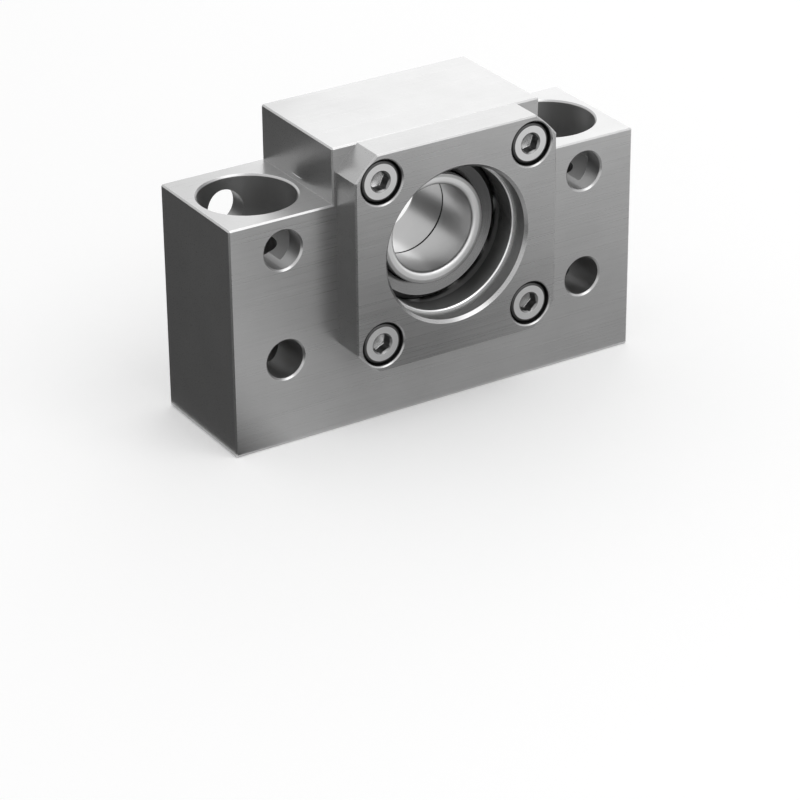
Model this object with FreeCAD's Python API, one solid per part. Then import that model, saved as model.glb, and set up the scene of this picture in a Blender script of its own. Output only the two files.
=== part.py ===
import FreeCAD, Part
import math
import os

# Ball screw end support. A ground steel block carries the fixed end of a ball
# screw in a pair of angular contact ball bearings. A square cover with four
# socket head screws clamps the outer rings against a lip at the back.
# All sizes are millimetres. The origin is the middle of the base, X runs across
# the block, Y runs along the shaft from the cover to the back, and Z is up.

# Bearings
bearing_bore = 15.0
bearing_od = 32.0
bearing_width = 9.0
bearing_count = 2
ball_diameter = 4.762
balls_per_row = 11
race_clearance = 0.06
groove_excess = 0.12
high_shoulder = 1.15
low_shoulder = 0.15
bore_rounding = 0.7
rim_rounding = 0.6
land_chamfer = 0.25
joint_chamfer = 0.2
cage_wall = 1.2
cage_gap = 0.3
cage_inset = 0.8
cage_flange_width = 1.9
cage_flange_thickness = 0.6
cage_flange_dish = 0.6
pocket_clearance = 0.1

# Cover
cover_thickness = 6.0
spigot_length = 1.2
spigot_clearance = 0.05
lip_width = 3.5
lip_chamfer = 0.2
recess_step = 0.5
recess_depth = 3.2
recess_chamfer = 0.5
cover_break = 0.25
corner_break = 0.2
corner_wall = 0.1
cover_edge_wall = 1.05

# Cover screws
screw_diameter = 4.0
thread_clearance = 0.05
screw_length = 10.0
screw_tip_chamfer = 0.5
head_diameter = 7.0
head_height = 4.0
head_chamfer = 0.45
head_recess = 0.4
head_gap = 0.25
head_seat_break = 0.25
socket_flats = 3.0
socket_depth = 2.0
socket_mouth_diameter = 3.7
screw_hole_clearance = 0.25
tapped_runout = 1.2
drill_point_angle = 118.0

# Housing
axis_height = 30.2
seat_wall = 1.75
rear_lip_thickness = 2.8
rear_lip_width = 2.8
seat_clearance = 0.01
flank_margin = 0.55
housing_break = 0.25

# Mounting holes
side_hole_diameter = 6.6
lower_hole_height = 15.0
side_hole_spacing = 19.0
hole_to_shoulder = 5.5
down_hole_diameter = 9.0
counterbore_diameter = 16.0
counterbore_depth = 8.6
flank_wall = 1.15
end_wall = 1.5
mouth_break = 0.3

# How far a cutting tool reaches past the face that it enters
tool_reach = 1.0

# How far apart two planes may lie and still count as the same
same_plane = 1e-6

# Places that follow from the sizes above
ball_radius = ball_diameter / 2
pitch_radius = (bearing_bore + bearing_od) / 4
groove_radius = ball_radius + groove_excess
inner_groove_bottom = pitch_radius - ball_radius - race_clearance
outer_groove_bottom = pitch_radius + ball_radius + race_clearance
cage_outer_radius = outer_groove_bottom - high_shoulder - cage_gap
cage_inner_radius = cage_outer_radius - cage_wall
cage_flange_radius = inner_groove_bottom + low_shoulder + cage_gap
pair_width = bearing_count * bearing_width

housing_depth = spigot_length + pair_width + rear_lip_thickness
front_plane = -housing_depth / 2
back_plane = housing_depth / 2
pair_front = front_plane + spigot_length
cover_front = front_plane - cover_thickness

tapped_radius = screw_diameter / 2 + thread_clearance
head_seat_radius = head_diameter / 2 + head_gap
screw_circle_radius = bearing_od / 2 + seat_wall + tapped_radius
screw_offset = screw_circle_radius / math.sqrt(2)
corner_radius = screw_circle_radius + head_seat_radius + head_seat_break + corner_wall
cover_size = 2 * (screw_offset + head_seat_radius + cover_edge_wall)
head_seat_plane = cover_front + head_recess + head_height

block_width = cover_size + 2 * flank_margin
block_height = axis_height + cover_size / 2
hole_pitch = block_width + counterbore_diameter + 2 * flank_wall
housing_width = hole_pitch + counterbore_diameter + 2 * end_wall
upper_hole_height = lower_hole_height + side_hole_spacing
shoulder_height = upper_hole_height + hole_to_shoulder

ALONG_SHAFT = FreeCAD.Vector(0, 1, 0)
DOWN = FreeCAD.Vector(0, 0, -1)


def turned(outline):
    """A solid turned about the shaft axis from closed (radius, y) points."""
    points = [FreeCAD.Vector(radius, y, axis_height) for radius, y in outline]
    face = Part.Face(Part.makePolygon(points + points[:1]))
    return face.revolve(FreeCAD.Vector(0, 0, axis_height), ALONG_SHAFT, 360)


def ring_groove(centre_radius, y):
    """The round groove that the balls run in, about the shaft axis."""
    centre = FreeCAD.Vector(0, y, axis_height)
    return Part.makeTorus(centre_radius, groove_radius, centre, ALONG_SHAFT)


def drill(mouth, direction, radius, depth, mouth_chamfer):
    """A hole from a mouth on a face, with the mouth's edge broken."""
    start = mouth - direction * tool_reach
    hole = Part.makeCylinder(radius, depth + tool_reach, start, direction)
    flare_length = mouth_chamfer + tool_reach
    flare = Part.makeCone(radius + flare_length, radius, flare_length, start, direction)
    return hole.fuse(flare)


def through_drill(mouth, direction, radius, depth, mouth_chamfer):
    """A hole right through, with both of its edges broken."""
    far_mouth = mouth + direction * depth
    near_end = drill(mouth, direction, radius, depth, mouth_chamfer)
    far_end = drill(far_mouth, direction * -1, radius, depth, mouth_chamfer)
    return near_end.fuse(far_end)


def screw_places():
    """The four screw axes on the cover, as (x, z)."""
    return [(side * screw_offset, axis_height + level * screw_offset)
            for side in (-1, 1) for level in (-1, 1)]


def broken(solid, size, keep_sharp):
    """The solid with a small chamfer on each edge that isn't kept sharp."""
    edges = [edge for edge in solid.Edges if not keep_sharp(edge.CenterOfMass)]
    return solid.makeChamfer(size, edges)


def stepped_block():
    """The block's outline from the front: a raised middle and two shoulders."""
    half_width = housing_width / 2
    half_block = block_width / 2
    right = [(half_width, 0), (half_width, shoulder_height),
             (half_block, shoulder_height), (half_block, block_height)]
    left = [(-x, z) for x, z in reversed(right)]
    points = [FreeCAD.Vector(x, front_plane, z) for x, z in right + left]
    face = Part.Face(Part.makePolygon(points + points[:1]))
    block = face.extrude(ALONG_SHAFT * housing_depth)

    def in_the_step(place):
        at_flank = abs(abs(place.x) - half_block) < housing_break
        return at_flank and abs(place.z - shoulder_height) < housing_break

    return broken(block, housing_break, in_the_step)


def bearing_seat():
    """The tool for the bearing seat and the opening in the lip behind it."""
    seat_radius = bearing_od / 2 + seat_clearance
    lip_radius = bearing_od / 2 - rear_lip_width
    seat_end = pair_front + pair_width
    rear_edge = lip_radius + mouth_break
    return turned([
        (0, front_plane - tool_reach),
        (seat_radius, front_plane - tool_reach),
        (seat_radius, seat_end),
        (lip_radius, seat_end),
        (lip_radius, back_plane - mouth_break),
        (rear_edge, back_plane),
        (rear_edge, back_plane + tool_reach),
        (0, back_plane + tool_reach)])


def tapped_hole(x, z):
    """A blind hole for a cover screw, ending in the drill's cone."""
    grip = screw_length - (front_plane - head_seat_plane)
    depth = grip + tapped_runout
    mouth = FreeCAD.Vector(x, front_plane, z)
    point_length = tapped_radius / math.tan(math.radians(drill_point_angle / 2))
    bottom = mouth + ALONG_SHAFT * depth
    point = Part.makeCone(tapped_radius, 0, point_length, bottom, ALONG_SHAFT)
    return drill(mouth, ALONG_SHAFT, tapped_radius, depth, thread_clearance).fuse(point)


def down_bolt_hole(x):
    """A counterbored hole through a shoulder and on through the base."""
    top = FreeCAD.Vector(x, 0, shoulder_height)
    counterbore = drill(top, DOWN, counterbore_diameter / 2, counterbore_depth, mouth_break)
    clear_height = block_height - shoulder_height
    head_room = Part.makeCylinder(counterbore_diameter / 2, clear_height, top)
    hole = through_drill(top, DOWN, down_hole_diameter / 2, shoulder_height, mouth_break)
    return counterbore.fuse([head_room, hole])


def side_bolt_hole(x, z):
    """A plain hole from the front face to the back face."""
    mouth = FreeCAD.Vector(x, front_plane, z)
    return through_drill(mouth, ALONG_SHAFT, side_hole_diameter / 2, housing_depth, mouth_break)


def housing():
    """The ground block, whose upper side holes cross the two counterbores."""
    hole_x = hole_pitch / 2
    tools = [bearing_seat()]
    tools += [tapped_hole(x, z) for x, z in screw_places()]
    for x in (-hole_x, hole_x):
        tools.append(down_bolt_hole(x))
        tools += [side_bolt_hole(x, z) for z in (lower_hole_height, upper_hole_height)]
    return stepped_block().cut(tools)


def cover_plate():
    """The cover's square plate, with its four corners turned round."""
    half = cover_size / 2
    corner = FreeCAD.Vector(-half, cover_front, axis_height - half)
    square = Part.makeBox(cover_size, cover_thickness, cover_size, corner)

    def behind_front(place):
        return place.y > cover_front + cover_break

    square = broken(square, cover_break, behind_front)
    disc = turned([
        (0, cover_front),
        (corner_radius - corner_break, cover_front),
        (corner_radius, cover_front + corner_break),
        (corner_radius, front_plane),
        (0, front_plane)])
    return square.common(disc)


def cover_bore():
    """The tool for the cover's opening: a recess, then a narrower lip."""
    lip_radius = bearing_od / 2 - lip_width
    recess_radius = lip_radius + recess_step
    step_plane = cover_front + recess_depth
    mouth_radius = recess_radius + recess_chamfer
    return turned([
        (0, cover_front - tool_reach),
        (mouth_radius, cover_front - tool_reach),
        (mouth_radius, cover_front),
        (recess_radius, cover_front + recess_chamfer),
        (recess_radius, step_plane),
        (lip_radius + lip_chamfer, step_plane),
        (lip_radius, step_plane + lip_chamfer),
        (lip_radius, pair_front - lip_chamfer),
        (lip_radius + lip_chamfer, pair_front),
        (lip_radius + lip_chamfer, pair_front + tool_reach),
        (0, pair_front + tool_reach)])


def screw_seat(x, z):
    """The tool for a screw's counterbore and its clearance hole."""
    mouth = FreeCAD.Vector(x, cover_front, z)
    seat_depth = head_seat_plane - cover_front
    seat = drill(mouth, ALONG_SHAFT, head_seat_radius, seat_depth, head_seat_break)
    hole_radius = screw_diameter / 2 + screw_hole_clearance
    hole = Part.makeCylinder(hole_radius, cover_thickness + tool_reach, mouth, ALONG_SHAFT)
    return seat.fuse(hole)


def retaining_cover():
    """The square cover, whose spigot presses on the front outer ring."""
    spigot_radius = bearing_od / 2 - spigot_clearance
    spigot = turned([
        (0, front_plane - spigot_clearance),
        (spigot_radius, front_plane - spigot_clearance),
        (spigot_radius, pair_front - spigot_clearance),
        (spigot_radius - spigot_clearance, pair_front),
        (0, pair_front)])
    tools = [cover_bore()] + [screw_seat(x, z) for x, z in screw_places()]
    return cover_plate().fuse(spigot).cut(tools).removeSplitter()


def hex_socket(x, z):
    """The tool for a screw's hexagon socket, with cones at its mouth and its bottom."""
    corner = socket_flats / math.sqrt(3)
    face_plane = head_seat_plane - head_height
    angles = [math.pi * (step + 0.5) / 3 for step in range(6)]
    points = [FreeCAD.Vector(x + corner * math.cos(angle), face_plane, z + corner * math.sin(angle))
              for angle in angles]
    hexagon = Part.Face(Part.makePolygon(points + points[:1]))
    prism = hexagon.extrude(ALONG_SHAFT * socket_depth)
    flats_radius = socket_flats / 2
    cone_length = flats_radius / math.tan(math.radians(drill_point_angle / 2))
    bottom = FreeCAD.Vector(x, face_plane + socket_depth, z)
    bottom_cone = Part.makeCone(flats_radius, 0, cone_length, bottom, ALONG_SHAFT)
    mouth_radius = socket_mouth_diameter / 2
    mouth = FreeCAD.Vector(x, face_plane, z)
    mouth_cone = Part.makeCone(mouth_radius, 0, mouth_radius, mouth, ALONG_SHAFT)
    return prism.fuse([bottom_cone, mouth_cone])


def cover_screw(x, z):
    """A socket head cap screw, its head sunk in the cover."""
    face_plane = head_seat_plane - head_height
    tip_plane = head_seat_plane + screw_length
    head_radius = head_diameter / 2
    shank_radius = screw_diameter / 2
    outline = [
        (0, face_plane),
        (head_radius - head_chamfer, face_plane),
        (head_radius, face_plane + head_chamfer),
        (head_radius, head_seat_plane),
        (shank_radius, head_seat_plane),
        (shank_radius, tip_plane - screw_tip_chamfer),
        (shank_radius - screw_tip_chamfer, tip_plane),
        (0, tip_plane)]
    points = [FreeCAD.Vector(x + radius, y, z) for radius, y in outline]
    face = Part.Face(Part.makePolygon(points + points[:1]))
    blank = face.revolve(FreeCAD.Vector(x, 0, z), ALONG_SHAFT, 360)
    return blank.cut(hex_socket(x, z))


def cover_screws():
    """The four screws, as separate solids of one group."""
    return Part.makeCompound([cover_screw(x, z) for x, z in screw_places()])


def rounded(ring, size, distance_from_shaft, planes):
    """The ring with its corners at a distance from the shaft rounded on some of its end planes."""
    corners = [edge for edge in ring.Edges if isinstance(edge.Curve, Part.Circle)
               and math.isclose(edge.Curve.Radius, distance_from_shaft)
               and any(abs(edge.Curve.Center.y - plane) < same_plane for plane in planes)]
    return ring.makeFillet(size, corners)


def ring_span(row, facing):
    """A bearing's open face, its middle and its face at the joint, along Y."""
    middle = pair_front + bearing_width * (row + 0.5)
    open_face = middle - facing * bearing_width / 2
    joint_face = middle + facing * bearing_width / 2
    return open_face, middle, joint_face


def outer_ring(row, facing):
    """An outer ring, with its high shoulder on the open side of the pair."""
    open_face, middle, joint_face = ring_span(row, facing)
    rim = bearing_od / 2
    high = outer_groove_bottom - high_shoulder
    low = outer_groove_bottom - low_shoulder
    ring = turned([
        (high + land_chamfer, open_face),
        (rim, open_face),
        (rim, joint_face),
        (low + land_chamfer, joint_face),
        (low, joint_face - facing * land_chamfer),
        (low, middle),
        (high, middle),
        (high, open_face + facing * land_chamfer)])
    ring = rounded(ring, rim_rounding, rim, (open_face, joint_face))
    return ring.cut(ring_groove(outer_groove_bottom - groove_radius, middle))


def inner_ring(row, facing):
    """An inner ring, with its high shoulder at the joint of the pair."""
    open_face, middle, joint_face = ring_span(row, facing)
    bore = bearing_bore / 2
    high = inner_groove_bottom + high_shoulder
    low = inner_groove_bottom + low_shoulder
    ring = turned([
        (bore, open_face),
        (low - land_chamfer, open_face),
        (low, open_face + facing * land_chamfer),
        (low, middle),
        (high, middle),
        (high, joint_face - facing * land_chamfer),
        (high - land_chamfer, joint_face),
        (bore + joint_chamfer, joint_face),
        (bore, joint_face - facing * joint_chamfer)])
    ring = rounded(ring, bore_rounding, bore, [open_face])
    return ring.cut(ring_groove(inner_groove_bottom + groove_radius, middle))


def ball_angles(row):
    """The balls' angles about the shaft; the second row is half a step on."""
    step = 360.0 / balls_per_row
    return [step * (place + 0.5 * row) for place in range(balls_per_row)]


def outwards(angle):
    """The direction away from the shaft axis at an angle in degrees."""
    turn = math.radians(angle)
    return FreeCAD.Vector(math.cos(turn), 0, math.sin(turn))


def cage(row, facing):
    """A ring with a round pocket for each ball and a dished flange in towards the inner ring."""
    open_face, middle, joint_face = ring_span(row, facing)
    flange_rim = cage_flange_radius + cage_flange_width
    front = open_face + facing * cage_inset
    flange_front = front + facing * cage_flange_dish
    flange_back = flange_front + facing * cage_flange_thickness
    ring = turned([
        (cage_flange_radius, flange_front),
        (flange_rim, front),
        (cage_outer_radius, front + facing * (cage_outer_radius - flange_rim)),
        (cage_outer_radius, joint_face - facing * cage_inset),
        (cage_inner_radius, joint_face - facing * cage_inset),
        (cage_inner_radius, flange_back + facing * (cage_inner_radius - cage_flange_radius)),
        (cage_flange_radius, flange_back)])
    centre = FreeCAD.Vector(0, middle, axis_height)
    pocket_radius = ball_radius + pocket_clearance
    pockets = [Part.makeCylinder(pocket_radius, bearing_od / 2, centre, outwards(angle))
               for angle in ball_angles(row)]
    return ring.cut(pockets)


def ball(row, angle):
    """One ball on the pitch circle of its row."""
    middle = pair_front + bearing_width * (row + 0.5)
    centre = FreeCAD.Vector(0, middle, axis_height) + outwards(angle) * pitch_radius
    return Part.makeSphere(ball_radius, centre)


def bearing_nodes(name, row, facing):
    """The named pieces of one bearing."""
    nodes = {
        name + "_outer_ring": outer_ring(row, facing),
        name + "_inner_ring": inner_ring(row, facing),
        name + "_cage": cage(row, facing)}
    for number, angle in enumerate(ball_angles(row), start=1):
        nodes[f"{name}_ball_{number:02d}"] = ball(row, angle)
    return nodes


def all_nodes():
    """Every named piece of the support."""
    nodes = {
        "housing": housing(),
        "retaining_cover": retaining_cover(),
        "cover_screws": cover_screws()}
    nodes.update(bearing_nodes("front", 0, 1))
    nodes.update(bearing_nodes("rear", 1, -1))
    return nodes


os.makedirs("parts", exist_ok=True)
for node_name, shape in all_nodes().items():
    shape.exportStep(f"parts/{node_name}.step")
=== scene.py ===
import logging
import math
from dataclasses import dataclass, field
from enum import Enum
from typing import Any

import bpy
import numpy as np
from mathutils import Matrix, Vector


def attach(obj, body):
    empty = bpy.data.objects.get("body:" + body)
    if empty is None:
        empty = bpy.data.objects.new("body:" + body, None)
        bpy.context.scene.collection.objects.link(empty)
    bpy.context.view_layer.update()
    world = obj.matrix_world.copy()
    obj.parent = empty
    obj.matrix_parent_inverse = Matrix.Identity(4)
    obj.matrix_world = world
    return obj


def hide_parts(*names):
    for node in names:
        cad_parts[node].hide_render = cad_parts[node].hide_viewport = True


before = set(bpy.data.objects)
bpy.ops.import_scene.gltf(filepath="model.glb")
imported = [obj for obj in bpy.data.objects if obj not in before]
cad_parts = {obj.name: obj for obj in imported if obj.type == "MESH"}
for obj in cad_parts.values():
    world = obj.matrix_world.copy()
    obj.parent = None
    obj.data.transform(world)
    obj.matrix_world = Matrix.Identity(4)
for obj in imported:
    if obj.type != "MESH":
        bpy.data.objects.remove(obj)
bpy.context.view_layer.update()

log = logging.getLogger("end_support")

Socket = bpy.types.NodeSocket

# A stretch of a turned surface: its radii, its depths and how light it is
Stations = tuple[np.ndarray, np.ndarray, np.ndarray]

MM = 0.001
TURN = 2.0 * math.pi
SHAFT_HEIGHT = 30.2 * MM
HOUSING_FRONT = -11.0 * MM
COVER_FRONT = -17.0 * MM

# Points closer than this are one point
SAME_POINT = 0.0001 * MM

# The middle part of the noise's range, which the finishes use
NOISE_LOW = 0.3
NOISE_HIGH = 0.7


class Lay(Enum):
    """Which way the marks of the finishing tool run."""

    STRAIGHT = "across the block"
    ROUND_SHAFT = "around the shaft"
    ROUND_SCREW = "around each screw"
    POLISHED = "no direction"


# Surfaces worked out on grids


def joined_grid(rows: int, columns: int, close_rows: bool) -> np.ndarray:
    """Joins a grid of points into four-sided faces, wrapping round along the columns.

    The point at row i and column j has the number i * columns + j, and each face joins it with
    its neighbours at i + 1 and j + 1.

    Args:
        rows: how many rows of points there are.
        columns: how many points a row has.
        close_rows: whether the last row joins the first.

    Returns:
        The faces, each four point numbers.
    """
    i = np.arange(rows if close_rows else rows - 1)[:, None]
    j = np.arange(columns)[None, :]
    next_i, next_j = (i + 1) % rows, (j + 1) % columns
    corners = (i * columns + j, i * columns + next_j, next_i * columns + next_j, next_i * columns + j)
    return np.stack([np.broadcast_to(c, (i.size, j.size)) for c in corners], axis=-1).reshape(-1, 4)


def volume_inside(points: np.ndarray, faces: np.ndarray) -> float:
    """Gives the volume inside closed faces, negative where they face inwards.

    Each face is two triangles a, b, c, and the volume is the sum of a . (b x c) / 6.

    Args:
        points: the points, as rows of x, y and z.
        faces: the faces, each four point numbers.

    Returns:
        The volume in cubic metres.
    """
    a, b, c, d = (points[faces[:, k]] for k in range(4))
    halves = np.einsum("ij,ij->i", a, np.cross(b, c)) + np.einsum("ij,ij->i", a, np.cross(c, d))
    return float(halves.sum() / 6.0)


def rounded_outline(corners: np.ndarray, radii: np.ndarray, steps: int = 6) -> np.ndarray:
    """Rounds the corners of a closed outline.

    A corner of radius r starts to turn r / tan(half its inside angle) before the corner, and
    follows (1 - t)^2 * start + 2 t (1 - t) * corner + t^2 * end as t goes from 0 to 1.

    Args:
        corners: the outline's corners, as rows of two numbers.
        radii: each corner's radius, 0 where it stays sharp.
        steps: how many stretches a rounded corner has.

    Returns:
        The outline's points, as rows of two numbers.
    """
    before = np.roll(corners, 1, axis=0) - corners
    after = np.roll(corners, -1, axis=0) - corners
    before /= np.linalg.norm(before, axis=1, keepdims=True)
    after /= np.linalg.norm(after, axis=1, keepdims=True)
    inside_angle = np.arccos(np.clip((before * after).sum(axis=1), -1.0, 1.0))
    setback = (radii / np.tan(inside_angle / 2.0))[:, None]
    start = (corners + before * setback)[:, None]
    end = (corners + after * setback)[:, None]
    t = np.linspace(0.0, 1.0, steps + 1)[None, :, None]
    arcs = (1 - t) ** 2 * start + 2 * t * (1 - t) * corners[:, None] + t ** 2 * end
    outline = arcs.reshape(-1, 2)
    gaps = np.linalg.norm(outline - np.roll(outline, 1, axis=0), axis=1)
    return outline[gaps > SAME_POINT]


def groove_arc(centre: tuple[float, float], radius: float, start: float, end: float,
               steps: int = 20) -> np.ndarray:
    """Gives points on a ball groove: centre + radius * (cos a, sin a) as a goes from start to end."""
    angle = np.linspace(start, end, steps + 1)
    return np.stack([centre[0] + radius * np.cos(angle), centre[1] + radius * np.sin(angle)], axis=1)


def turned_surface(radius: np.ndarray, y: np.ndarray, axis: tuple[float, float], around: int) -> np.ndarray:
    """Turns the stations of a profile about a line along Y.

    At the angle a a station is at (x0 + r * cos a, y, z0 + r * sin a), where r and y may have a
    value of their own for each angle.

    Args:
        radius: one row for each station, with one radius or one for each angle.
        y: the stations' places along the line, in the same way.
        axis: the line's x0 and z0.
        around: how many angles there are.

    Returns:
        The points, as rows of x, y, z.
    """
    angle = np.arange(around) * TURN / around
    radius, y = (np.broadcast_to(a if a.ndim == 2 else a[:, None], (len(a), around)) for a in (radius, y))
    x = axis[0] + radius * np.cos(angle)
    z = axis[1] + radius * np.sin(angle)
    return np.stack([x, y, z], axis=-1).reshape(-1, 3)


def make_piece(name: str, points: np.ndarray, faces: np.ndarray, crease: float = 30.0,
               marks: np.ndarray | None = None) -> bpy.types.Object:
    """Makes a smooth-shaded object whose faces point outwards, with its seams and poles closed.

    Args:
        name: the object's name.
        points: the points, as rows of x, y and z.
        faces: the faces, each four point numbers.
        crease: the angle in degrees from which an edge stays sharp.
        marks: three numbers for each point, which the finish reads as the attribute "turned".

    Returns:
        The object, at the origin.
    """
    if volume_inside(points, faces) < 0.0:
        faces = faces[:, ::-1]
    keys = np.round(points / SAME_POINT).astype(np.int64)
    _, first, number = np.unique(keys, axis=0, return_index=True, return_inverse=True)
    merged = number.reshape(-1)[faces]
    distinct = merged != np.roll(merged, 1, axis=1)
    squares = merged[distinct.sum(axis=1) == 4]
    three = distinct.sum(axis=1) == 3
    triangles = merged[three][distinct[three]].reshape(-1, 3)
    mesh = bpy.data.meshes.new(name)
    mesh.from_pydata(points[first].tolist(), [], squares.tolist() + triangles.tolist())
    if marks is not None:
        turned = mesh.attributes.new("turned", "FLOAT_VECTOR", "POINT")
        turned.data.foreach_set("vector", marks[first].astype(np.float32).ravel())
    mesh.polygons.foreach_set("use_smooth", np.ones(len(mesh.polygons), dtype=bool))
    mesh.set_sharp_from_angle(angle=math.radians(crease))
    mesh.update()
    piece = bpy.data.objects.new(name, mesh)
    bpy.context.scene.collection.objects.link(piece)
    return piece


def settle(piece: bpy.types.Object, finish: bpy.types.Material, slot: str, body: str, *nodes: str) -> None:
    """Dresses a piece, lets it ride on a body and lets it stand for its CAD nodes.

    Args:
        piece: the finished piece.
        finish: its material.
        slot: the record's material slot that the finish belongs to; not used.
        body: the CAD body that it moves with.
        nodes: the CAD nodes that it stands for.
    """
    piece.data.materials.append(finish)
    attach(piece, body)
    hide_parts(*nodes)
    log.info("%s: %d faces, rides on %s", piece.name, len(piece.data.polygons), body)


def dress_node(name: str, finish: bpy.types.Material) -> None:
    """Gives a CAD node a finish in each of its material slots.

    Args:
        name: the node's name.
        finish: the material it gets.
    """
    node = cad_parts[name]
    for slot in node.material_slots:
        slot.material = finish
    log.info("%s: %d faces, dressed as packed", name, len(node.data.polygons))


# Finishes


class Graph:
    """A material's nodes, with short calls that add and join them."""

    def __init__(self, name: str) -> None:
        """Starts a new material with no nodes.

        Args:
            name: the material's name.
        """
        self.material = bpy.data.materials.new(name)
        self.material.use_nodes = True
        self.tree = self.material.node_tree
        self.tree.nodes.clear()

    def add(self, kind: str, inputs: dict[Any, Any], **settings: Any) -> bpy.types.Node:
        """Adds a node.

        Args:
            kind: the node's type, without its common first word.
            inputs: what each input gets, an output to join to it or a value.
            settings: the node's own settings.

        Returns:
            The node.
        """
        node = self.tree.nodes.new("ShaderNode" + kind)
        for name, value in settings.items():
            setattr(node, name, value)
        for socket, value in inputs.items():
            if isinstance(value, Socket):
                self.tree.links.new(value, node.inputs[socket])
            else:
                node.inputs[socket].default_value = value
        return node

    def place(self, height: float = 0.0) -> Socket:
        """Gives the object coordinates, measured from a height above the base."""
        coordinates = self.add("TexCoord", {}).outputs["Object"]
        return self.add("Mapping", {"Vector": coordinates, "Location": (0.0, 0.0, -height)}).outputs[0]

    def parts(self, vector: Socket) -> list[Socket]:
        """Splits a vector into its three numbers."""
        return list(self.add("SeparateXYZ", {0: vector}).outputs)

    def math(self, operation: str, first: Any, second: Any = 0.0, third: Any = 0.0) -> Socket:
        """Adds a calculation with numbers."""
        return self.add("Math", {0: first, 1: second, 2: third}, operation=operation).outputs[0]

    def distance(self, across: Any, along: Any) -> Socket:
        """Gives the distance from a line, from the two numbers across it."""
        vector = self.add("CombineXYZ", {0: across, 1: along}).outputs[0]
        return self.add("VectorMath", {0: vector}, operation="LENGTH").outputs["Value"]

    def stretched(self, vector: Socket, scale: tuple[float, float, float]) -> Socket:
        """Scales a vector by a number for each direction."""
        return self.add("Mapping", {"Vector": vector, "Scale": scale}).outputs[0]

    def noise(self, coordinates: Socket, detail: float = 3.0) -> Socket:
        """Adds noise of about one patch per unit, with values around one half."""
        inputs = {"Vector": coordinates, "Scale": 1.0, "Detail": detail, "Roughness": 0.6}
        return self.add("TexNoise", inputs).outputs["Fac"]

    def ramp(self, value: Any, low: float, high: float, low_result: Any, high_result: Any) -> Socket:
        """Maps a value from one range onto another, and holds it there.

        Args:
            value: the value to map.
            low: where the first range starts.
            high: where it ends.
            low_result: the result at its start, and before it.
            high_result: the result at its end, and beyond it.

        Returns:
            The result, which changes evenly from one end to the other.
        """
        inputs = {"Value": value, "From Min": low, "From Max": high,
                  "To Min": low_result, "To Max": high_result}
        return self.add("MapRange", inputs).outputs["Result"]

    def swing(self, noise: Socket, middle: float, amount: float) -> Socket:
        """Turns noise into values that swing about a middle by an amount."""
        return self.ramp(noise, NOISE_LOW, NOISE_HIGH, middle - amount, middle + amount)

    def finish(self, surface: Socket) -> bpy.types.Material:
        """Joins the surface to the output and returns the material."""
        self.add("OutputMaterial", {"Surface": surface})
        return self.material


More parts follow.
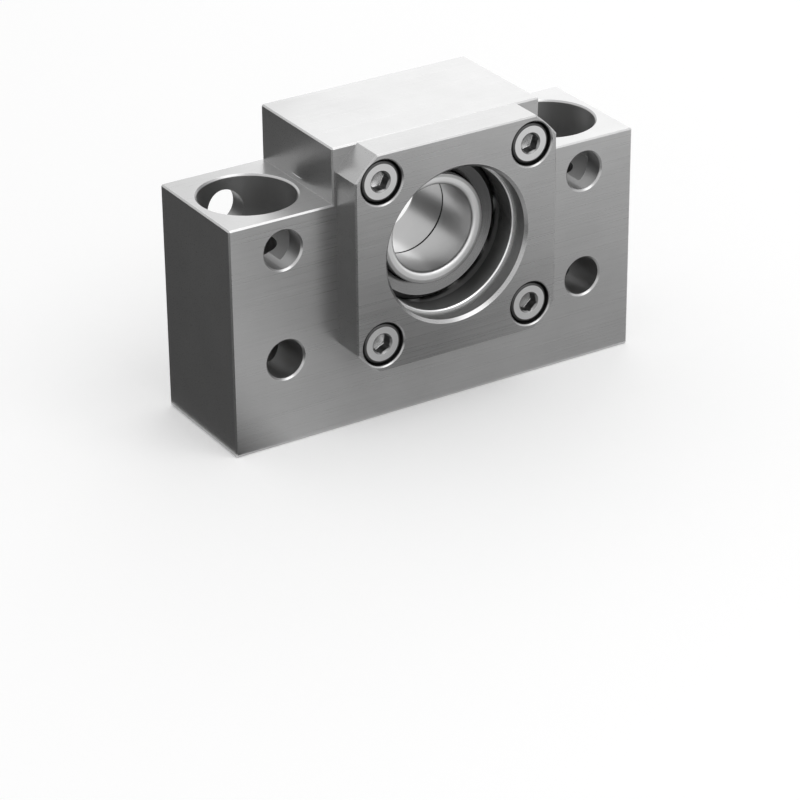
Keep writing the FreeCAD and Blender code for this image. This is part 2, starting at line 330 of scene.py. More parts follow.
@dataclass(frozen=True)
class Steel:
    """A steel finish: its tone and sheen, and the marks of the tool that made it."""

    name: str
    tone: float
    roughness: float
    lay: Lay
    mark_width: float
    mark_depth: float
    mark_length: float = 30 * MM
    roughness_swing: float = 0.05
    tone_swing: float = 0.04
    cloud_size: float = 12 * MM
    edge_width: float = 0.2 * MM
    edge_start: float = 0.998
    edge_full: float = 0.94
    edge_gain: float = 1.3

    def build(self) -> bpy.types.Material:
        """Builds the finish.

        Returns:
            A metal whose tone drifts slowly and is lighter on worn edges, and whose sheen and
            relief follow fine marks.
        """
        graph = Graph(self.name)
        marks = graph.noise(self.mark_coordinates(graph), detail=4.0)
        cloud = graph.noise(graph.stretched(graph.place(), (1.0 / self.cloud_size,) * 3))
        drift = graph.swing(cloud, 1.0, self.tone_swing)
        streak = graph.swing(marks, 1.0, self.tone_swing)
        tone = graph.math("MULTIPLY", graph.math("MULTIPLY", drift, streak), self.base_tone(graph))
        worn = graph.math("MULTIPLY", tone, graph.ramp(self.edge(graph), 0.0, 1.0, 1.0, self.edge_gain))
        colour = graph.add("CombineColor", {0: worn, 1: worn, 2: worn}).outputs[0]
        sheen = graph.math("ADD", self.base_roughness(graph), graph.swing(marks, 0.0, self.roughness_swing))
        relief = graph.add("Bump", {"Height": marks, "Strength": 1.0, "Distance": self.mark_depth})
        surface = graph.add("BsdfPrincipled", {
            "Base Color": colour, "Metallic": 1.0, "Roughness": sheen, "Normal": relief.outputs["Normal"]})
        return graph.finish(surface.outputs["BSDF"])

    def base_tone(self, graph: Graph) -> Any:
        """Gives the tone before marks and wear, the same all over."""
        return self.tone

    def base_roughness(self, graph: Graph) -> Any:
        """Gives the roughness before the marks change it, the same all over."""
        return self.roughness

    def mark_coordinates(self, graph: Graph) -> Socket:
        """Gives the coordinates that the tool marks follow, one unit to a mark's width.

        Args:
            graph: the graph to add nodes to.

        Returns:
            The coordinates: stretched along the block for straight marks, and for round marks
            the distance from the axis and the place along it, so that a mark is a full circle.
        """
        fine = 1.0 / self.mark_width
        if self.lay is Lay.ROUND_SCREW:
            return graph.stretched(graph.add("Attribute", {}, attribute_name="turned").outputs["Vector"],
                                   (fine, fine, 0.0))
        if self.lay is Lay.ROUND_SHAFT:
            x, y, z = graph.parts(graph.place(SHAFT_HEIGHT))
            ring = graph.add("CombineXYZ", {0: graph.distance(x, z), 1: y}).outputs[0]
            return graph.stretched(ring, (fine, fine, 0.0))
        along = 1.0 / self.mark_length if self.lay is Lay.STRAIGHT else fine
        return graph.stretched(graph.place(), (along, fine, fine))

    def edge(self, graph: Graph) -> Socket:
        """Gives 1 along sharp edges and 0 on open faces.

        It grows as the true normal departs from a normal rounded over the edge's width, read
        from the cosine between them.

        Args:
            graph: the graph to add nodes to.

        Returns:
            The mask.
        """
        flat = graph.add("NewGeometry", {}).outputs["Normal"]
        soft = graph.add("Bevel", {"Radius": self.edge_width}, samples=4).outputs["Normal"]
        cosine = graph.add("VectorMath", {0: flat, 1: soft}, operation="DOT_PRODUCT").outputs["Value"]
        return graph.ramp(cosine, self.edge_start, self.edge_full, 0.0, 1.0)


@dataclass(frozen=True)
class DrilledShadedSteel(Steel):
    """A steel finish that is rougher where holes are drilled or bored, and darker there with painted shade.
    """

    # painted shade: the darker tone inside the holes
    hole_shade_tone: float = 0.25
    hole_roughness: float = 0.45

    def drilled(self, graph: Graph) -> Socket:
        """Gives how much of the holes' rougher finish and painted shade a point has, 0 when there are none.
        """
        return graph.math("MULTIPLY", 0.0)

    def base_tone(self, graph: Graph) -> Any:
        """Gives the ground tone outside and a painted shade tone in the holes."""
        return graph.ramp(self.drilled(graph), 0.0, 1.0, self.tone, self.hole_shade_tone)

    def base_roughness(self, graph: Graph) -> Any:
        """Gives the ground roughness outside and the drilled roughness in the holes."""
        return graph.ramp(self.drilled(graph), 0.0, 1.0, self.roughness, self.hole_roughness)


@dataclass(frozen=True)
class BlockSteel(DrilledShadedSteel):
    """The housing's finish, with its side holes and its counterbored holes, which are rougher and darkened
    with painted shade.
    """

    hole_spread: float = 28.5 * MM
    side_hole_middle: float = 24.5 * MM
    side_hole_half_spacing: float = 9.5 * MM
    side_hole_radius: float = 3.35 * MM
    counterbore_radius: float = 8.05 * MM
    counterbore_floor: float = 30.8 * MM
    shoulder: float = 39.45 * MM

    def drilled(self, graph: Graph) -> Socket:
        """Gives 1 inside the side holes and the counterbored holes, where the painted shade and the rougher
        finish go, and 0 elsewhere.

        The distance from the nearest hole's axis is compared with the hole's radius. The four
        side holes are alike in |x| and in the height's distance from their middle.

        Args:
            graph: the graph to add nodes to.

        Returns:
            The mask.
        """
        x, y, z = graph.parts(graph.place())
        across = graph.math("SUBTRACT", graph.math("ABSOLUTE", x), self.hole_spread)
        height = graph.math("ABSOLUTE", graph.math("SUBTRACT", z, self.side_hole_middle))
        side = graph.distance(across, graph.math("SUBTRACT", height, self.side_hole_half_spacing))
        in_shaded_side_hole = graph.math("LESS_THAN", side, self.side_hole_radius)
        down = graph.distance(across, y)
        in_down = graph.math("LESS_THAN", down, self.counterbore_radius)
        below = graph.math("LESS_THAN", z, self.shoulder)
        above = graph.math("GREATER_THAN", z, self.counterbore_floor)
        in_shaded_counterbore = graph.math("MULTIPLY", in_down, graph.math("MULTIPLY", below, above))
        return graph.math("MAXIMUM", in_shaded_side_hole, in_shaded_counterbore)


@dataclass(frozen=True)
class CoverSteel(DrilledShadedSteel):
    """The cover's finish, with painted shade in its stepped opening and in the seats of its screws, and a
    painted highlight on the step.
    """

    recess_radius: float = 13.02 * MM
    step_radius: float = 12.76 * MM
    step_half_width: float = 0.23 * MM
    # painted highlight: a near-white ring on the turned step
    step_highlight_tone: float = 0.95
    # painted shade: the share of the seats' darkening that the opening gets
    opening_shade_share: float = 0.6
    screw_spread: float = 14.0 * MM
    seat_radius: float = 3.8 * MM

    def step(self, graph: Graph) -> Socket:
        """Gives 1 on the turned step in the opening, where a painted highlight goes, by the distance from
        the shaft axis.
        """
        x, _, z = graph.parts(graph.place(SHAFT_HEIGHT))
        return graph.math("COMPARE", graph.distance(x, z), self.step_radius, self.step_half_width)

    def base_tone(self, graph: Graph) -> Any:
        """Gives the ground tone, painted shade in the seats and the opening, and a painted highlight on the
        turned step.
        """
        return graph.ramp(self.step(graph), 0.0, 1.0, super().base_tone(graph), self.step_highlight_tone)

    def drilled(self, graph: Graph) -> Socket:
        """Gives 1 in the screws' seats and a share of it in the opening, where painted shade and a rougher
        finish go, and 0 elsewhere.

        The distances from the shaft axis and from the nearest screw's axis are compared with
        the radii. The four screws are alike in |x| and |height from the shaft|.

        Args:
            graph: the graph to add nodes to.

        Returns:
            The mask.
        """
        x, _, z = graph.parts(graph.place(SHAFT_HEIGHT))
        in_shaded_opening = graph.math("LESS_THAN", graph.distance(x, z), self.recess_radius)
        across = graph.math("SUBTRACT", graph.math("ABSOLUTE", x), self.screw_spread)
        height = graph.math("SUBTRACT", graph.math("ABSOLUTE", z), self.screw_spread)
        in_shaded_seat = graph.math("LESS_THAN", graph.distance(across, height), self.seat_radius)
        return graph.math("MAXIMUM", in_shaded_seat, graph.math("MULTIPLY", in_shaded_opening, self.opening_shade_share))


@dataclass(frozen=True)
class RingSteel(Steel):
    """The bearing rings' finish: a softly streaked bore, a painted highlight on the ends about it, and
    painted shade in the pair's joint.
    """

    bore_tone: float = 0.5
    bore_roughness: float = 0.34
    bore_end: float = 7.53 * MM
    full_shine: float = 7.8 * MM
    land_start: float = 8.7 * MM
    land_full: float = 8.95 * MM
    land_tone: float = 0.5
    joint_place: float = -0.8 * MM
    joint_half_width: float = 0.2 * MM
    # painted shade: a near-black band in the crevice where the two bearings meet
    joint_shade_tone: float = 0.04

    def ends(self, graph: Graph) -> Socket:
        """Gives 0 on the bore and 1 on the ends, from the distance to the shaft axis."""
        x, _, z = graph.parts(graph.place(SHAFT_HEIGHT))
        return graph.ramp(graph.distance(x, z), self.bore_end, self.full_shine, 0.0, 1.0)

    def base_tone(self, graph: Graph) -> Any:
        """Gives the tones of the bore, the rounded ends, the lands and the pair's joint.

        Args:
            graph: the graph to add nodes to.

        Returns:
            The bore's tone, with a painted highlight on the ends, between both on the lands further out,
            and painted shade in the crevice where the two bearings meet.
        """
        x, y, z = graph.parts(graph.place(SHAFT_HEIGHT))
        land = graph.ramp(graph.distance(x, z), self.land_start, self.land_full, self.tone, self.land_tone)
        tone = graph.ramp(self.ends(graph), 0.0, 1.0, self.bore_tone, land)
        # painted shade in the crevice of the joint
        in_shaded_joint = graph.math("COMPARE", y, self.joint_place, self.joint_half_width)
        return graph.ramp(in_shaded_joint, 0.0, 1.0, tone, self.joint_shade_tone)

    def base_roughness(self, graph: Graph) -> Any:
        """Gives the bore's roughness and the ends'."""
        return graph.ramp(self.ends(graph), 0.0, 1.0, self.bore_roughness, self.roughness)


@dataclass(frozen=True)
class ScrewSteel(Steel):
    """The screws' finish: a bright turned face, painted shade on its rounded edge, knurl and socket walls,
    and a socket floor with a painted glint.
    """

    # painted shade: the tone where the light share is 0
    painted_shade_tone: float = 0.09
    floor_depth: float = 1.97 * MM
    floor_half: float = 0.5 * MM
    # painted glint: the socket floor's near-white tone
    floor_tone: float = 1.0
    floor_roughness: float = 0.14

    def carried(self, graph: Graph) -> list[Socket]:
        """Gives the radius, the depth and the painted light share that each point carries."""
        return graph.parts(graph.add("Attribute", {}, attribute_name="turned").outputs["Vector"])

    def socket_floor_and_glint(self, graph: Graph) -> Socket:
        """Gives 1 on the drilled cone at the socket's floor, by its depth, and 0 elsewhere."""
        middle = self.floor_depth + self.floor_half
        return graph.math("COMPARE", self.carried(graph)[1], middle, self.floor_half)

    def base_roughness(self, graph: Graph) -> Any:
        """Gives the face's roughness, and less of it on the socket's floor."""
        return graph.ramp(self.socket_floor_and_glint(graph), 0.0, 1.0, self.roughness, self.floor_roughness)

    def base_tone(self, graph: Graph) -> Any:
        """Gives the tone from the painted light share that each point carries, and a painted glint on the
        socket floor.
        """
        shared = graph.ramp(self.carried(graph)[2], 0.0, 1.0, self.painted_shade_tone, self.tone)
        return graph.ramp(self.socket_floor_and_glint(graph), 0.0, 1.0, shared, self.floor_tone)


# The holes' tones below are painted shade in the housing's holes and in the cover's seats and opening.
HOUSING_STEEL = BlockSteel(
    "housing_ground_steel", tone=0.5, roughness=0.31, lay=Lay.STRAIGHT,
    mark_width=0.12 * MM, mark_depth=0.0008 * MM, hole_shade_tone=0.36)
COVER_STEEL = CoverSteel(
    "cover_ground_steel", tone=0.45, roughness=0.3, lay=Lay.STRAIGHT,
    mark_width=0.12 * MM, mark_depth=0.0008 * MM, hole_shade_tone=0.15)
SCREW_STEEL = ScrewSteel(
    "screw_plated_steel", tone=0.72, roughness=0.42, lay=Lay.ROUND_SCREW,
    mark_width=0.08 * MM, mark_depth=0.0005 * MM)
# tone 0.92 is a painted highlight on the rings' rounded ends; the bore and the lands keep 0.5
RING_STEEL = RingSteel(
    "ring_polished_steel", tone=0.92, roughness=0.4, lay=Lay.ROUND_SHAFT,
    mark_width=0.06 * MM, mark_depth=0.0004 * MM)
BALL_STEEL = Steel(
    "ball_mirror_steel", tone=0.75, roughness=0.06, lay=Lay.POLISHED,
    mark_width=0.5 * MM, mark_depth=0.0001 * MM, roughness_swing=0.02)
CAGE_STEEL = Steel(
    "cage_pressed_steel", tone=0.2, roughness=0.2, lay=Lay.ROUND_SHAFT,
    mark_width=0.25 * MM, mark_depth=0.006 * MM)


# The support's own pieces


@dataclass
class Bearing:
    """One of the two angular contact bearings, from its open face to the joint of the pair."""

    name: str
    open_face: float
    facing: int
    first_angle: float
    width: float = 9.0 * MM
    bore_radius: float = 7.5 * MM
    rim_radius: float = 16.0 * MM
    ball_radius: float = 2.381 * MM
    pitch_radius: float = 11.75 * MM
    balls: int = 11
    race_clearance: float = 0.06 * MM
    groove_excess: float = 0.12 * MM
    high_shoulder: float = 1.15 * MM
    low_shoulder: float = 0.15 * MM
    bore_rounding: float = 0.7 * MM
    rim_rounding: float = 0.6 * MM
    land_rounding: float = 0.25 * MM
    joint_rounding: float = 0.2 * MM
    around: int = 192
    ball_around: int = 56
    ball_stations: int = 29

    def build(self, finishes: "Finishes") -> None:
        """Builds the rings and balls, and dresses the cage.

        Args:
            finishes: the support's finishes.
        """
        outer = self.ring(self.outer_outline(), self.name + "_outer_ring_turned")
        settle(outer, finishes.ring, "ring_steel", "block", self.name + "_outer_ring")
        inner = self.ring(self.inner_outline(), self.name + "_inner_ring_turned")
        settle(inner, finishes.ring, "ring_steel", self.name + "_inner", self.name + "_inner_ring")
        for number in range(1, self.balls + 1):
            node = f"{self.name}_ball_{number:02d}"
            settle(self.ball(number), finishes.ball, "ball_steel", self.name + "_ball_set", node)
        dress_node(self.name + "_cage", finishes.cage)

    def outer_outline(self) -> np.ndarray:
        """Gives the outer ring's section, with its high shoulder at the open face.

        The groove is a circle a little larger than the ball, and meets a shoulder of radius s
        where (s - centre)^2 + along^2 is the groove's radius squared.

        Returns:
            Points as rows of radius and distance from the open face.
        """
        groove = self.ball_radius + self.groove_excess
        bottom = self.pitch_radius + self.ball_radius + self.race_clearance
        high, low = bottom - self.high_shoulder, bottom - self.low_shoulder
        centre = bottom - groove
        start = math.acos((low - centre) / groove)
        end = -math.acos((high - centre) / groove)
        arc = groove_arc((centre, self.width / 2), groove, start, end)
        corners = np.concatenate([
            [(high, 0.0), (self.rim_radius, 0.0), (self.rim_radius, self.width), (low, self.width)], arc])
        radii = np.zeros(len(corners))
        radii[:4] = self.land_rounding, self.rim_rounding, self.rim_rounding, self.land_rounding
        return rounded_outline(corners, radii)

    def inner_outline(self) -> np.ndarray:
        """Gives the inner ring's section, with its low shoulder at the open face.

        Returns:
            Points as rows of radius and distance from the open face.
        """
        groove = self.ball_radius + self.groove_excess
        bottom = self.pitch_radius - self.ball_radius - self.race_clearance
        high, low = bottom + self.high_shoulder, bottom + self.low_shoulder
        centre = bottom + groove
        start = math.pi - math.acos((centre - high) / groove)
        end = math.pi + math.acos((centre - low) / groove)
        arc = groove_arc((centre, self.width / 2), groove, start, end)
        corners = np.concatenate([
            [(low, 0.0), (self.bore_radius, 0.0), (self.bore_radius, self.width), (high, self.width)], arc])
        radii = np.zeros(len(corners))
        radii[:4] = self.land_rounding, self.bore_rounding, self.joint_rounding, self.land_rounding
        return rounded_outline(corners, radii)

    def ring(self, outline: np.ndarray, name: str) -> bpy.types.Object:
        """Turns a ring's section about the shaft axis.

        Args:
            outline: points as rows of radius and distance from the open face.
            name: the ring's name.

        Returns:
            The ring.
        """
        y = self.open_face + self.facing * outline[:, 1]
        points = turned_surface(outline[:, 0], y, (0.0, SHAFT_HEIGHT), self.around)
        return make_piece(name, points, joined_grid(len(outline), self.around, True))

    def ball(self, number: int) -> bpy.types.Object:
        """Makes a ball at its place on the pitch circle.

        The point at latitude b and longitude a is the centre plus the ball's radius times
        (cos b * cos a, sin b, cos b * sin a).

        Args:
            number: the ball's number in its row, from 1.

        Returns:
            The ball.
        """
        angle = self.first_angle + (number - 1) * TURN / self.balls
        latitude = np.linspace(-math.pi / 2, math.pi / 2, self.ball_stations)
        axis = (self.pitch_radius * math.cos(angle), SHAFT_HEIGHT + self.pitch_radius * math.sin(angle))
        middle = self.open_face + self.facing * self.width / 2
        radius, along = self.ball_radius * np.cos(latitude), self.ball_radius * np.sin(latitude)
        points = turned_surface(radius, middle + along, axis, self.ball_around)
        faces = joined_grid(self.ball_stations, self.ball_around, False)
        return make_piece(f"{self.name}_ball_{number:02d}_polished", points, faces, crease=60.0)


@dataclass
class CoverScrew:
    """A socket head cap screw with a knurled head, a hexagon socket and a cut thread."""

    x: float
    z: float
    blend: float = 0.03 * MM
    face: float = COVER_FRONT + 0.4 * MM
    head_radius: float = 3.5 * MM
    head_height: float = 4.0 * MM
    head_rounding: float = 0.52 * MM
    edge_stations: int = 6
    knurls: int = 48
    knurl_depth: float = 0.1 * MM
    knurl_start: float = 0.1 * MM
    knurl_end: float = 0.5 * MM
    knurl_fade: float = 0.3 * MM
    under_chamfer: float = 0.15 * MM
    socket_turn: float = 0.0
    socket_flats: float = 3.0 * MM
    socket_depth: float = 2.0 * MM
    socket_mouth_radius: float = 1.85 * MM
    mouth_depth: float = 0.4 * MM
    mouth_stations: int = 5
    # painted shade on the mouth's cone: its share of the face's light
    mouth_painted_light: float = 0.3
    drill_cone: float = 0.9 * MM
    shank_radius: float = 2.0 * MM
    length: float = 10.0 * MM
    pitch: float = 0.7 * MM
    stations_per_pitch: int = 8
    thread_depth: float = 0.38 * MM
    tip_chamfer: float = 0.5 * MM
    body_light: float = 0.5
    around: int = 144

    def build(self, number: int, finishes: "Finishes") -> None:
        """Builds the screw as one turned surface and dresses it.

        Args:
            number: the screw's number, from 1.
            finishes: the support's finishes.
        """
        stations = [self.socket(), self.head(), self.thread()]
        radius = np.concatenate([part[0] for part in stations])
        depth = np.concatenate([part[1] for part in stations])
        light = np.concatenate([part[2] for part in stations])
        points = turned_surface(radius, self.face + depth, (self.x, self.z), self.around)
        marks = np.stack([radius.ravel(), depth.ravel(), light.ravel()], axis=1)
        name = f"cover_screw_{number}_turned"
        faces = joined_grid(len(radius), self.around, False)
        piece = make_piece(name, points, faces, crease=35.0, marks=marks)
        settle(piece, finishes.screw, "screw_steel", "block", "cover_screws")

    def stations(self, radius: Any, depth: Any, light: Any) -> Stations:
        """Spreads a stretch of the surface over the full turn.

        Args:
            radius: the radii, for each station or for each station and angle.
            depth: the depths below the head's face, one for each station.
            light: the painted light share of the stretch or of each of its stations, from 0 for painted
                shade to 1.

        Returns:
            The radii, depths and lightness, each with one row for a station.
        """
        count = len(depth)
        light = np.asarray(light, float) * np.ones(count)
        values = [np.asarray(value, float).reshape(count, -1) for value in (radius, depth, light)]
        return tuple(np.broadcast_to(value, (count, self.around)) for value in values)

    def socket(self) -> Stations:
        """Gives the socket, from the tip of its drilled cone up to its mouth.

        A hexagon's radius is (flats / 2) / cos(angle from the nearest flat's middle). At the
        mouth a cone is wider: the radius is the larger of the hexagon's and the mouth's radius
        less the depth.

        Returns:
            The radii, depths and lightness of its stations.
        """
        angle = np.arange(self.around) * TURN / self.around
        from_flat = np.mod(angle + self.socket_turn + TURN / 12, TURN / 6) - TURN / 12
        hexagon = self.socket_flats / 2 / np.cos(from_flat)
        inside = self.socket_flats / 2 - self.blend
        # painted glint: the drilled cone at the socket's tip gets the full light share
        tip = self.stations([0.0, inside], [self.socket_depth + self.drill_cone, self.socket_depth], 1.0)
        mouth = np.linspace(self.mouth_depth, 0.0, self.mouth_stations)
        depth = np.append(self.socket_depth, mouth)[:, None]
        walls = np.maximum(hexagon[None, :], self.socket_mouth_radius - depth)
        on_cone = depth[:, 0] < self.socket_mouth_radius - self.socket_flats / 2 - self.blend
        # painted shade on the socket walls, a little lighter on the mouth's cone
        wall = self.stations(walls, depth, self.mouth_painted_light * on_cone)
        return tuple(np.concatenate(pair) for pair in zip(tip, wall))

    def head(self) -> Stations:
        """Gives the head's face with the full light share, and its rounded edge and knurled side with
        painted shade.

        The knurl's radius is the head's less depth * (1 + cos(knurls * angle)) / 2.

        Returns:
            The radii, depths and lightness of its stations.
        """
        angle = np.arange(self.around) * TURN / self.around
        rim = self.head_radius - self.head_rounding
        face = self.stations([self.socket_mouth_radius + self.blend, rim - self.blend], [0.0, 0.0], 1.0)
        turn = np.linspace(0.0, math.pi / 2, self.edge_stations)
        out, down = self.head_rounding * np.sin(turn), self.head_rounding * (1 - np.cos(turn))
        # painted shade: the rounded edge and the knurl get no light share
        edge = self.stations(rim + out, down, 0.0)
        cut = self.knurl_depth * (1 + np.cos(self.knurls * angle)) / 2
        share = np.array([0.0, 1.0, 1.0, 0.0])[:, None]
        start, end = self.head_rounding, self.head_height - self.knurl_end
        depth = [start, start + self.knurl_start, end, end + self.knurl_fade]
        knurl = self.stations(self.head_radius - share * cut[None, :], depth, 0.0)
        under = self.stations([self.head_radius, self.head_radius - self.under_chamfer, self.shank_radius],
                              [self.head_height - self.under_chamfer, self.head_height, self.head_height],
                              self.body_light)
        return tuple(np.concatenate(group) for group in zip(face, edge, knurl, under))

    def thread(self) -> Stations:
        """Gives the threaded shank and its chamfered tip.

        The radius is the crest's less the thread's depth times a triangle wave of
        depth / pitch - angle / full turn, which is a helix. The wave grows from nothing at the
        head, and the tip's chamfer caps the radius.

        Returns:
            The radii, depths and lightness of its stations.
        """
        angle = np.arange(self.around)[None, :] / self.around
        count = int(self.length / self.pitch * self.stations_per_pitch) + 1
        along = np.linspace(0.0, self.length, count)[:, None]
        wave = np.abs(2.0 * np.mod(along / self.pitch - angle, 1.0) - 1.0)
        growing, ending = along / self.pitch, (self.length - along) / self.pitch
        share = np.clip(growing, 0.0, 1.0) * np.clip(ending, 0.0, 1.0)
        radius = self.shank_radius - self.thread_depth * wave * share
        cap = self.shank_radius - np.clip(along - (self.length - self.tip_chamfer), 0.0, None)
        shank = self.stations(np.minimum(radius, cap), self.head_height + along, self.body_light)
        end = self.stations([0.0], [self.head_height + self.length], self.body_light)
        return tuple(np.concatenate(pair) for pair in zip(shank, end))


@dataclass
class Finishes:
    """The support's materials, each built once."""

    housing: bpy.types.Material = field(default_factory=HOUSING_STEEL.build)
    cover: bpy.types.Material = field(default_factory=COVER_STEEL.build)
    screw: bpy.types.Material = field(default_factory=SCREW_STEEL.build)
    ring: bpy.types.Material = field(default_factory=RING_STEEL.build)
    ball: bpy.types.Material = field(default_factory=BALL_STEEL.build)
    cage: bpy.types.Material = field(default_factory=CAGE_STEEL.build)


@dataclass
class SupportBlock:
    """The housing and its cover with four screws, whose sockets stand as they were tightened."""

    screw_offset: float = 14.0 * MM
    screw_sides: tuple[tuple[int, int], ...] = ((-1, -1), (-1, 1), (1, -1), (1, 1))
    socket_turns: tuple[float, ...] = (0.1, 0.45, -0.2, 0.3)

    def build(self, finishes: Finishes) -> None:
        """Dresses the housing and the cover, and builds the screws.

        Args:
            finishes: the support's finishes.
        """
        dress_node("housing", finishes.housing)
        dress_node("retaining_cover", finishes.cover)
        for number, ((side, level), turn) in enumerate(zip(self.screw_sides, self.socket_turns), start=1):
            x, z = side * self.screw_offset, SHAFT_HEIGHT + level * self.screw_offset
            CoverScrew(x, z, socket_turn=turn).build(number, finishes)


# The studio


def looking_back(azimuth: float, elevation: float) -> Vector:
    """Gives the direction from the object to a viewer, from angles in degrees; 0, 0 is the front."""
    turn, lift = math.radians(azimuth), math.radians(elevation)
    return Vector((math.sin(turn) * math.cos(lift), -math.cos(turn) * math.cos(lift), math.sin(lift)))


def background_rays(tree: bpy.types.NodeTree) -> Socket:
    """Gives 1 where the camera, a reflection or a clear surface sees the background, and 0 for other light.

    Args:
        tree: the node tree to add nodes to.

    Returns:
        The mask.
    """
    path = tree.nodes.new("ShaderNodeLightPath")
    seen = path.outputs["Is Camera Ray"]
    for ray in ("Is Glossy Ray", "Is Transmission Ray"):
        either = tree.nodes.new("ShaderNodeMath")
        either.operation = "MAXIMUM"
        tree.links.new(seen, either.inputs[0])
        tree.links.new(path.outputs[ray], either.inputs[1])
        seen = either.outputs[0]
    return seen


@dataclass(frozen=True)
class PhotoCamera:
    """A camera at the photograph's angle, fitted to the corners and holes of the block."""

    azimuth: float = -31.818
    elevation: float = 27.337
    roll: float = -0.516
    distance: float = 537.1 * MM
    aim_right: float = -6.26 * MM
    aim_up: float = -0.15 * MM
    focal_share: float = 3268.7 / 800.0
    sensor: float = 36.0
    clip_start: float = 0.01
    aim: tuple[float, float, float] = (0.0, HOUSING_FRONT, 0.0)

    def place(self) -> None:
        """Adds the camera, whose lens is the focal share times the sensor, and makes it the scene's."""
        back = looking_back(self.azimuth, self.elevation)
        right = Vector((0, 0, 1)).cross(back).normalized()
        up = back.cross(right)
        roll = math.radians(self.roll)
        tilted_right = right * math.cos(roll) + up * math.sin(roll)
        tilted_up = up * math.cos(roll) - right * math.sin(roll)
        aim = Vector(self.aim) + tilted_right * self.aim_right + tilted_up * self.aim_up
        place = aim + back * self.distance
        data = bpy.data.cameras.new("photo_camera")
        data.sensor_width = self.sensor
        data.lens = self.focal_share * self.sensor
        data.clip_start = self.clip_start
        camera = bpy.data.objects.new("photo_camera", data)
        turned = Matrix((tilted_right, tilted_up, back)).transposed().to_4x4()
        camera.matrix_world = Matrix.Translation(place) @ turned
        bpy.context.scene.collection.objects.link(camera)
        bpy.context.scene.camera = camera


@dataclass(frozen=True)
class Softbox:
    """A square lamp that points at the block."""

    name: str
    azimuth: float
    elevation: float
    distance: float
    size: float
    brightness: float
    aim: tuple[float, float, float] = (0.0, 0.0, 0.03)

    def place(self) -> None:
        """Adds the lamp; its power is pi times its area times its brightness."""
        back = looking_back(self.azimuth, self.elevation)
        data = bpy.data.lights.new(self.name, "AREA")
        data.size = self.size
        data.energy = math.pi * self.size ** 2 * self.brightness
        lamp = bpy.data.objects.new(self.name, data)
        place = Matrix.Translation(Vector(self.aim) + back * self.distance)
        lamp.matrix_world = place @ back.to_track_quat("Z", "Y").to_matrix().to_4x4()
        bpy.context.scene.collection.objects.link(lamp)


@dataclass(frozen=True)
class PaintedReflectionCard:
    """A sheet that only reflections see, like a photographer's card beside polished metal; it glows with
    its own tones and paints dark and light reflections on the metal.
    """

    name: str
    rows: tuple[tuple[tuple[float, float, float], ...], ...]
    tones: tuple[tuple[float, ...], ...]

    def place(self) -> None:
        """Adds the card, a grid of points in rows, whose tone blends from point to point."""
        points = np.array(self.rows)
        count = points.shape[1]
        row, column = (grid.ravel() for grid in np.indices((len(points) - 1, count - 1)))
        corner = row * count + column
        faces = np.stack([corner, corner + 1, corner + 1 + count, corner + count], axis=1)
        mesh = bpy.data.meshes.new(self.name)
        mesh.from_pydata(points.reshape(-1, 3).tolist(), [], faces.tolist())
        mesh.attributes.new("tone", "FLOAT", "POINT").data.foreach_set("value", np.ravel(self.tones))
        graph = Graph(self.name)
        tone = graph.add("Attribute", {}, attribute_name="tone").outputs["Fac"]
        mesh.materials.append(graph.finish(graph.add("Emission", {"Strength": tone}).outputs[0]))
        card = bpy.data.objects.new(self.name, mesh)
        for ray in ("camera", "diffuse", "transmission", "shadow", "volume_scatter"):
            setattr(card, "visible_" + ray, False)
        bpy.context.scene.collection.objects.link(card)


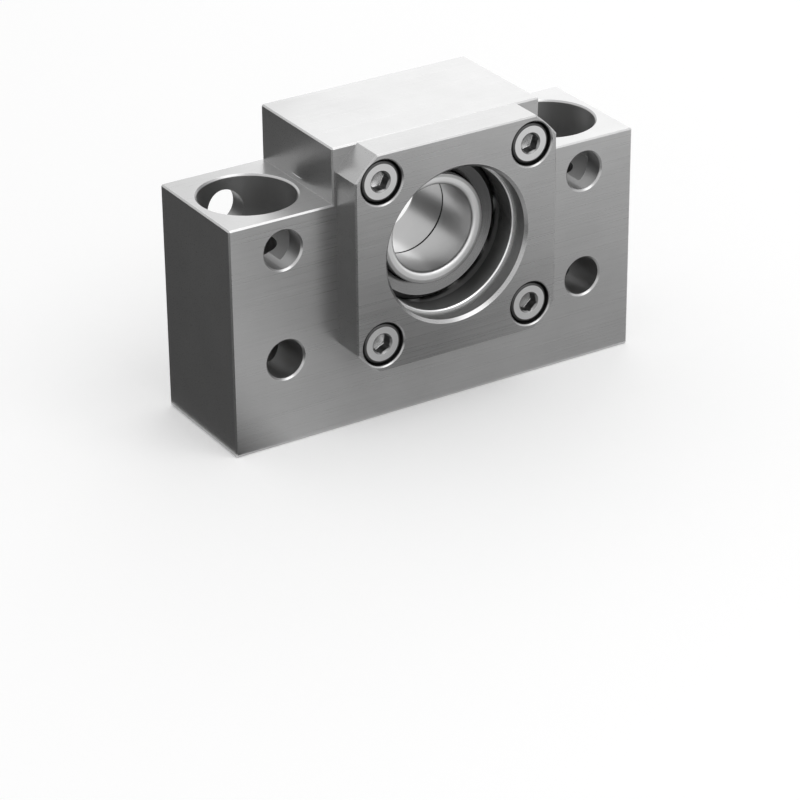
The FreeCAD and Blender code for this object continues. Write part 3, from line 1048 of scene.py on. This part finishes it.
@dataclass(frozen=True)
class Studio:
    """The floor, the sky, the lamps and the glowing cards that paint reflections on the metal."""

    floor_half: float = 30.0
    floor_tone: float = 0.94
    floor_lift: float = 0.14
    sky_light: float = 0.75
    card_height: float = 0.3 * MM
    card_back: float = 0.35
    # painted reflections: the left and side cards glow dimly to darken the block's left faces
    left_card_columns: tuple[float, ...] = (-0.0385, -0.14)
    left_card_tones: tuple[float, ...] = (0.1, 0.12)
    side_card_top: float = 0.105
    side_card_tone: float = 0.12
    front_card_columns: tuple[float, ...] = (-0.14, -0.038, -0.027, -0.010, 0.002, 0.06, 0.3)
    front_card_lines: tuple[float, ...] = (0.0, 0.014, 0.027, 0.13)
    # painted reflections: the darker patch, 0.14, shades the cover's lower part
    front_card_painted_tones: tuple[tuple[float, ...], ...] = (
        (0.08, 0.10, 0.60, 0.46, 0.44, 0.48, 0.50),
        (0.08, 0.10, 0.60, 0.46, 0.44, 0.48, 0.50),
        (0.08, 0.11, 0.63, 0.58, 0.14, 0.56, 0.60),
        (0.08, 0.12, 0.75, 0.75, 0.64, 0.80, 0.80))
    lamps: tuple[Softbox, ...] = (
        Softbox("back_lamp", azimuth=140.0, elevation=27.0, distance=0.55, size=0.26, brightness=0.9),
        Softbox("front_lamp", azimuth=20.0, elevation=55.0, distance=0.7, size=0.45, brightness=1.5))

    def build(self) -> None:
        """Builds the whole studio."""
        self.sky()
        self.floor()
        for card in self.cards():
            card.place()
        for lamp in self.lamps:
            lamp.place()

    def cards(self) -> tuple[PaintedReflectionCard, ...]:
        """Gives the cards, one before the block, one at its left and one standing beyond that.

        Returns:
            The cards, whose glow paints reflections on the metal. The front one is dark at the left and
            light before the left shoulder. A darker patch lies before the cover, painting reflected shade
            on its lower part and beside its left edge, and beyond it the card grows lighter.
        """
        z, front = self.card_height, HOUSING_FRONT - self.card_height
        ends, outer = (front, self.card_back), self.left_card_columns[-1]
        front_rows = tuple(tuple((x, front - line, z) for x in self.front_card_columns)
                           for line in self.front_card_lines)
        left_rows = tuple(tuple((x, y, z) for y in ends) for x in self.left_card_columns)
        left_tones = tuple((tone, tone) for tone in self.left_card_tones)
        side_rows = tuple(tuple((outer, y, height) for y in ends) for height in (z, self.side_card_top))
        side_tones = ((self.side_card_tone,) * 2,) * 2
        return (PaintedReflectionCard("front_card", front_rows, self.front_card_painted_tones),
                PaintedReflectionCard("left_card", left_rows, left_tones),
                PaintedReflectionCard("side_card", side_rows, side_tones))

    def sky(self) -> None:
        """Makes the sky white to look at and in reflections, and softer as a light."""
        world = bpy.data.worlds.new("studio_sky")
        bpy.context.scene.world = world
        world.use_nodes = True
        tree = world.node_tree
        tree.nodes.clear()
        level = tree.nodes.new("ShaderNodeMapRange")
        level.inputs["To Min"].default_value = self.sky_light
        level.inputs["To Max"].default_value = 1.0
        tree.links.new(background_rays(tree), level.inputs["Value"])
        background = tree.nodes.new("ShaderNodeBackground")
        background.inputs["Color"].default_value = (1.0, 1.0, 1.0, 1.0)
        tree.links.new(level.outputs["Result"], background.inputs["Strength"])
        output = tree.nodes.new("ShaderNodeOutputWorld")
        tree.links.new(background.outputs[0], output.inputs["Surface"])

    def floor(self) -> None:
        """Lays the pale floor, lifted to white as a background while it keeps the block's shadow."""
        graph = Graph("studio_floor")
        tone = (self.floor_tone,) * 3 + (1.0,)
        paper = graph.add("BsdfDiffuse", {"Color": tone})
        lift = graph.math("MULTIPLY", background_rays(graph.tree), self.floor_lift)
        glow = graph.add("Emission", {"Strength": lift})
        surface = graph.add("AddShader", {0: paper.outputs[0], 1: glow.outputs[0]})
        half = self.floor_half
        mesh = bpy.data.meshes.new("studio_floor")
        corners = [(-half, -half, 0), (half, -half, 0), (half, half, 0), (-half, half, 0)]
        mesh.from_pydata(corners, [], [(0, 1, 2, 3)])
        mesh.materials.append(graph.finish(surface.outputs[0]))
        floor = bpy.data.objects.new("studio_floor", mesh)
        bpy.context.scene.collection.objects.link(floor)


def main() -> None:
    """Builds the support and the studio."""
    logging.basicConfig(level=logging.INFO, format="%(name)s: %(message)s")
    finishes = Finishes()
    SupportBlock().build(finishes)
    half_spacing = TURN / (2 * Bearing.balls)
    Bearing("front", open_face=-9.8 * MM, facing=1, first_angle=0.0).build(finishes)
    Bearing("rear", open_face=8.2 * MM, facing=-1, first_angle=half_spacing).build(finishes)
    Studio().build()
    PhotoCamera().place()
    bpy.context.scene.view_settings.view_transform = "Standard"
    log.info("sizes written")


if __name__ == "__main__":
    main()
